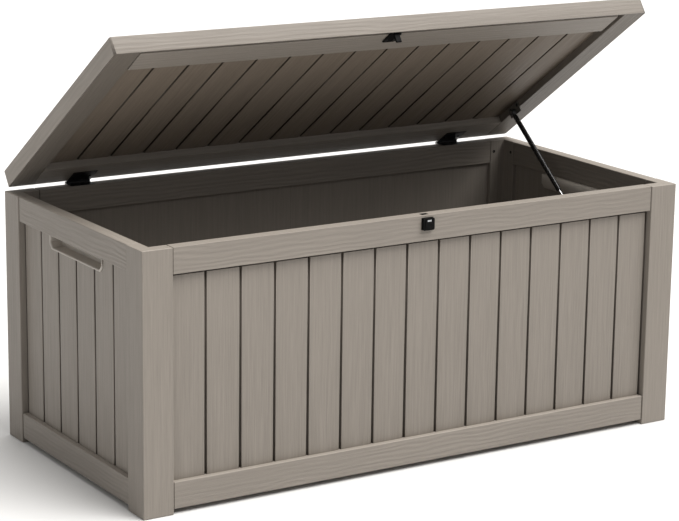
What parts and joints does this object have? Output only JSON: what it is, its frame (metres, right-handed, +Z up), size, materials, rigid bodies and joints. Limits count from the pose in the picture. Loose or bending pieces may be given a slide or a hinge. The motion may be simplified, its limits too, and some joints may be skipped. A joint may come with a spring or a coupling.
{
  "type": "storage bench",
  "caption": "Plank-sided resin storage bench with corner posts and rails, and a grooved hinged lid held part open by a gas strut.",
  "frame": {"origin": "on the ground, at the middle of the whole object's footprint with the lid as stored", "axes": "+X along the bench from its left end to its right end as seen from the front, +Y from front to back, +Z up"},
  "size_m": [1.25, 0.6228, 0.8878],
  "materials": {
    "post_resin": "wood-grain embossed, satin",
    "rail_resin": "wood-grain embossed, satin",
    "plank_resin": "wood-grain embossed, matte",
    "grip_resin": "plain, matte",
    "floor_resin": "plain, matte",
    "lid_resin": "wood-grain embossed, satin",
    "lid_rail_resin": "wood-grain embossed, matte",
    "lid_panel_resin": "grooved, matte",
    "galvanised_steel": "zinc coated",
    "black_steel": "satin black coating",
    "pin_steel": "drawn",
    "screw_steel": "black coating",
    "latch_plastic": "satin black",
    "strut_paint": "gloss black",
    "rod_chrome": "ground and polished",
    "guide_plastic": "plain",
    "socket_plastic": "plain black"
  },
  "bodies": {
    "box": {"front_left_post": "post_resin", "front_right_post": "post_resin", "back_left_post": "post_resin", "back_right_post": "post_resin", "front_top_rail": "rail_resin", "front_bottom_rail": "rail_resin", "back_top_rail": "rail_resin", "back_bottom_rail": "rail_resin", "left_top_rail": "rail_resin", "left_bottom_rail": "rail_resin", "right_top_rail": "rail_resin", "right_bottom_rail": "rail_resin", "front_left_plank_panel": "plank_resin", "front_right_plank_panel": "plank_resin", "back_left_plank_panel": "plank_resin", "back_right_plank_panel": "plank_resin", "left_plank_panel": "plank_resin", "right_plank_panel": "plank_resin", "left_grip_cup": "grip_resin", "right_grip_cup": "grip_resin", "floor_left_panel": "floor_resin", "floor_right_panel": "floor_resin", "post_screws": "screw_steel", "latch_catch": "latch_plastic", "catch_screws": "screw_steel", "left_hinge_box_leaf": "black_steel", "right_hinge_box_leaf": "black_steel", "left_hinge_pin": "pin_steel", "right_hinge_pin": "pin_steel", "hinge_box_screws": "screw_steel", "strut_box_bracket": "black_steel", "strut_box_screws": "screw_steel"},
    "lid": {"lid_top_shell": "lid_resin", "lid_left_rail": "lid_rail_resin", "lid_right_rail": "lid_rail_resin", "lid_front_rail": "lid_rail_resin", "lid_back_rail": "lid_rail_resin", "lid_inner_panel": "lid_panel_resin", "lid_stiffener_tubes": "galvanised_steel", "left_hinge_lid_leaf": "black_steel", "right_hinge_lid_leaf": "black_steel", "hinge_lid_screws": "screw_steel", "latch_hook": "latch_plastic", "hook_screws": "screw_steel", "strut_lid_bracket": "black_steel", "strut_lid_screws": "screw_steel"},
    "strut_cylinder": {"strut_top_socket": "socket_plastic", "strut_tube": "strut_paint", "strut_rod_guide": "guide_plastic"},
    "strut_piston_rod": {"strut_rod": "rod_chrome", "strut_piston": "guide_plastic", "strut_bottom_socket": "socket_plastic"}
  },
  "joints": [
    {"name": "lid_hinge", "type": "hinge", "parent": "box", "child": "lid", "pos_m": [0, 0.30063, 0.5155], "axis": [-1, 0, 0], "range_deg": [-35, 45]},
    {"name": "strut_pivot", "type": "hinge", "parent": "lid", "child": "strut_cylinder", "pos_m": [0.556, 0.18148, 0.59465], "axis": [1, 0, 0], "range_deg": [-34.51, 44.23]},
    {"name": "strut_slide", "type": "slide", "parent": "strut_cylinder", "child": "strut_piston_rod", "axis": [0, -0.7771, -0.6293], "range_m": [-0.0854, 0.10966]}
  ],
  "couplings": [
    {"joint": "strut_pivot", "follows": "lid_hinge", "ratio": 0.97179},
    {"joint": "strut_slide", "follows": "lid_hinge", "m_per_rad": 0.13898}
  ]
}
